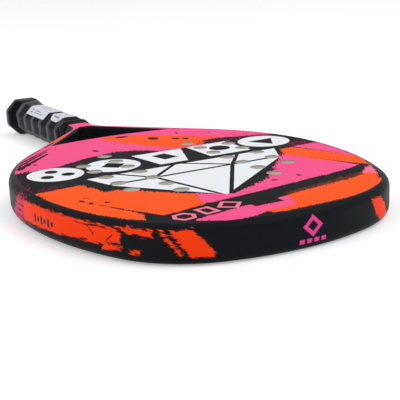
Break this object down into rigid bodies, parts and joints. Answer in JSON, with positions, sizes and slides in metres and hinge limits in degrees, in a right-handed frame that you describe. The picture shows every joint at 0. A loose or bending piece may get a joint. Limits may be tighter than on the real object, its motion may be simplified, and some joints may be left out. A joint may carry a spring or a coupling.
{
  "type": "paddle racket",
  "caption": "Solid-faced paddle racket: perforated head between two skins, hollow frame hoop, open triangular throat and a short wrapped handle with a flared butt cap.",
  "frame": {"origin": "centre of the wrist-cord hole's mouth in the butt end, on the middle plane of the racket", "axes": "+Y along the racket from butt to tip, +Z out of the upper face, +X across the head"},
  "size_m": [0.24, 0.495, 0.0344],
  "materials": {
    "painted_laminate": "gloss lacquer over painted fibre laminate",
    "face_laminate": "gloss lacquer over painted fibre laminate",
    "eva_foam": "closed-cell foam, matte",
    "bridge_foam": "closed-cell foam, matte",
    "pallet_plastic": "moulded, matte",
    "cap_plastic": "moulded, satin",
    "staple_wire": "drawn wire",
    "grip_wrap": "tacky polyurethane wrap, satin",
    "grip_tape": "vinyl tape, gloss",
    "label_paper": "coated paper"
  },
  "bodies": {
    "root": {"frame_tube": "painted_laminate", "throat_bridge": "painted_laminate", "bridge_core": "bridge_foam", "foam_core": "eva_foam", "upper_face_skin": "face_laminate", "lower_face_skin": "face_laminate", "handle_pallet_upper": "pallet_plastic", "handle_pallet_lower": "pallet_plastic", "butt_cap": "cap_plastic", "cap_staples": "staple_wire", "base_grip": "grip_wrap", "finishing_tape": "grip_tape", "large_label": "label_paper", "small_label": "label_paper"}
  },
  "joints": []
}
